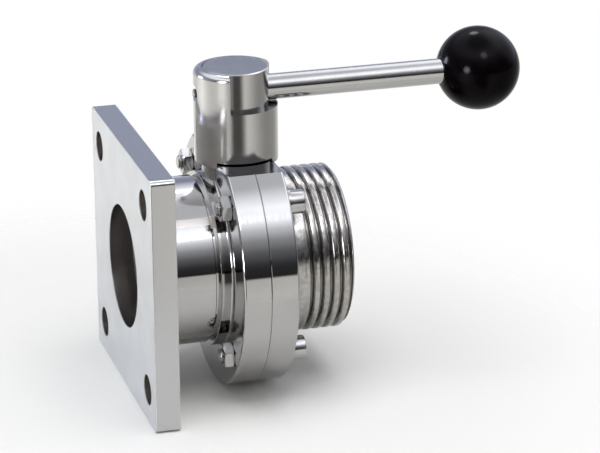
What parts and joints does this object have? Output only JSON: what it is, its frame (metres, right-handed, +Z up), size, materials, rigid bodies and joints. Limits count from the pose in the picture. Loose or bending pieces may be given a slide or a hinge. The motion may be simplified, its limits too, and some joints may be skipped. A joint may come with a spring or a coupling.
{
  "type": "sanitary butterfly valve",
  "caption": "Sanitary butterfly valve with a square mounting flange, a bolted two-piece body, a round-thread male end and a spring-loaded lever with a ball knob.",
  "frame": {"origin": "centre of the square flange's outer face, on the pipe axis", "axes": "+X along the pipe from the square flange to the threaded end, +Z up along the stem to the handle"},
  "size_m": [0.1734, 0.108, 0.144],
  "materials": {
    "polished_steel": "polished",
    "satin_steel": "satin",
    "fastener_steel": "bright",
    "spring_steel": "bright",
    "seal_rubber": "matte",
    "bearing_plastic": "matte",
    "knob_plastic": "high gloss",
    "insert_brass": "turned"
  },
  "bodies": {
    "body": {"square_flange": "satin_steel", "flange_stub": "polished_steel", "flange_side_body": "polished_steel", "thread_side_body": "polished_steel", "threaded_end": "polished_steel", "seat_seal": "seal_rubber", "body_bolts": "fastener_steel", "body_nuts": "fastener_steel", "body_washers": "fastener_steel", "upper_stem_bush": "bearing_plastic", "lower_stem_bush": "bearing_plastic", "handle_sleeve": "polished_steel", "sleeve_screws": "fastener_steel"},
    "rotor": {"valve_disc": "polished_steel", "stem_seal_ring": "seal_rubber", "handle_core": "satin_steel", "lever_bush": "bearing_plastic"},
    "lever": {"lever_plunger": "fastener_steel", "lever_spring": "spring_steel", "lever_rod": "polished_steel", "ball_knob": "knob_plastic", "knob_insert": "insert_brass"}
  },
  "joints": [
    {"name": "handle_turn", "type": "hinge", "parent": "body", "child": "rotor", "pos_m": [0.0496, 0, 0.0722], "axis": [0, 0, 1], "range_deg": [-90, 0]},
    {"name": "lever_pull", "type": "slide", "parent": "rotor", "child": "lever", "axis": [1, 0, 0], "range_m": [0, 0.005], "stiffness_N_per_m": 1200, "springref_m": -0.004, "deforming": ["lever_spring"]}
  ]
}
